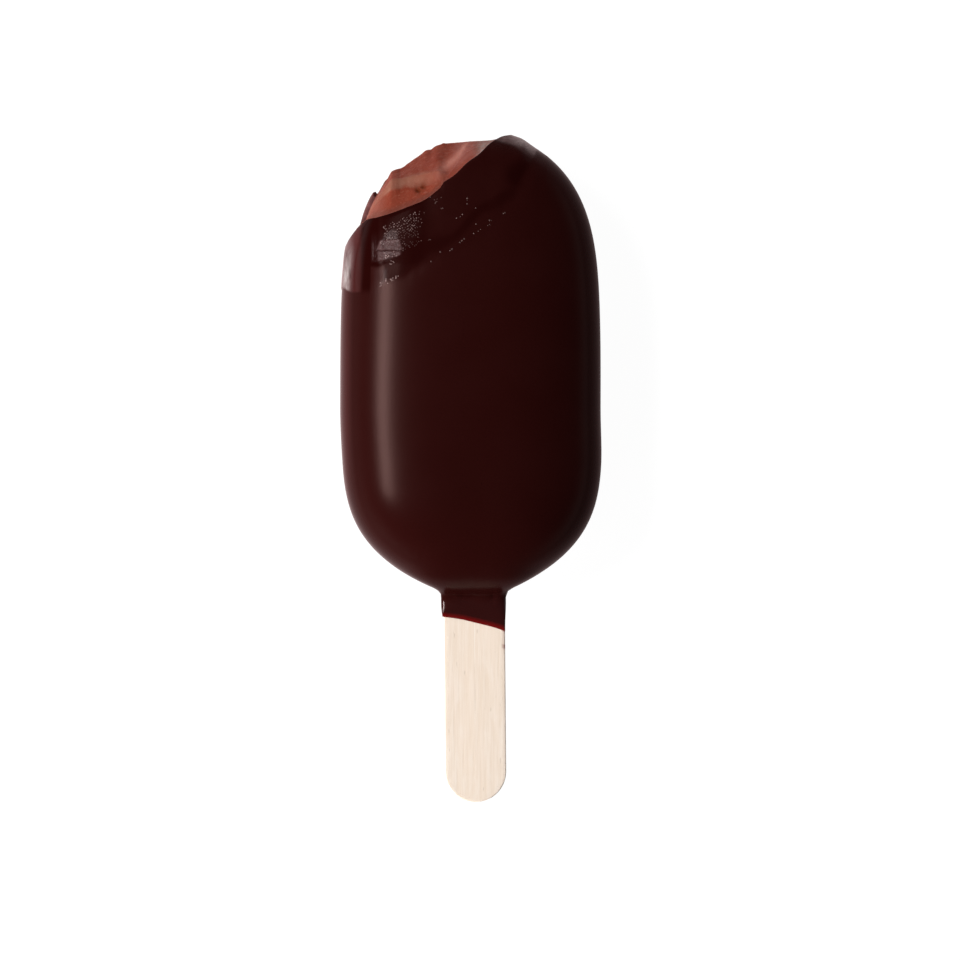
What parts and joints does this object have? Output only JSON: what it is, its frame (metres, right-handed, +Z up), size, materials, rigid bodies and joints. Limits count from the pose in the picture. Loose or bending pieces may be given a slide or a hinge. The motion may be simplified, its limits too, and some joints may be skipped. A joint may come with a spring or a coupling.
{
  "type": "ice cream bar",
  "caption": "Chocolate coated ice cream bar on a flat wooden stick, lying on its back, with one corner bitten off so that the ice cream shows.",
  "frame": {"origin": "on the surface that the bar lies on, under the middle of its whole length and width", "axes": "+Y along the bar, from the stick's free end to the bitten end; +Z up through the thickness, towards the side with the lower lip of the bite; +X across the bar, away from the bitten corner"},
  "size_m": [0.0503, 0.1281, 0.0248],
  "materials": {
    "dark_chocolate": "satin dark chocolate, wet and glossy in a band next to the bite",
    "chocolate_ice_cream": "soft, slightly melted pinkish brown ice cream with a rough bitten surface",
    "pale_wood": "smooth unvarnished pale wood with fine grain"
  },
  "bodies": {
    "root": {"chocolate_coating": "dark_chocolate", "ice_cream": "chocolate_ice_cream", "stick": "pale_wood"}
  },
  "joints": []
}
